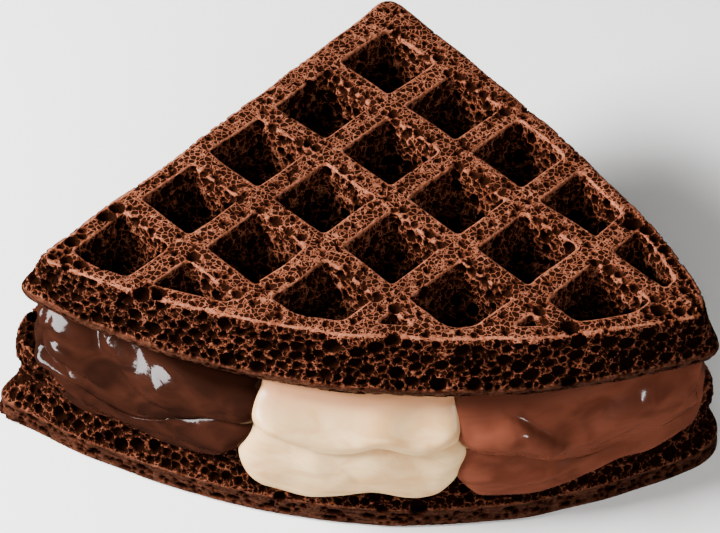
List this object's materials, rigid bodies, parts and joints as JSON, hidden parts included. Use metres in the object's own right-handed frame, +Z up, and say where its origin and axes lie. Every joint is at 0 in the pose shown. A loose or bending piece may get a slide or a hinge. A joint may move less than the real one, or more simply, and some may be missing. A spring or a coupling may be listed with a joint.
{
  "type": "chocolate waffle sandwich",
  "caption": "Quarter-round chocolate waffle sandwich with a deep square grid and stripes of dark, cream and milk chocolate filling.",
  "frame": {"origin": "middle of the bounding box, on the surface the sandwich lies on", "axes": "+Z up through both waffles, -Y towards the bowed front edge where the fillings show, +X to the right seen from that edge"},
  "size_m": [0.131, 0.0952, 0.044],
  "materials": {
    "waffle": "porous baked chocolate batter",
    "dark": "wet glossy dark chocolate",
    "cream": "satin cream",
    "milk": "soft satin milk chocolate"
  },
  "bodies": {
    "root": {"waffle_top": "waffle", "waffle_bottom": "waffle", "filling_dark": "dark", "filling_cream": "cream", "filling_milk": "milk"}
  },
  "joints": []
}
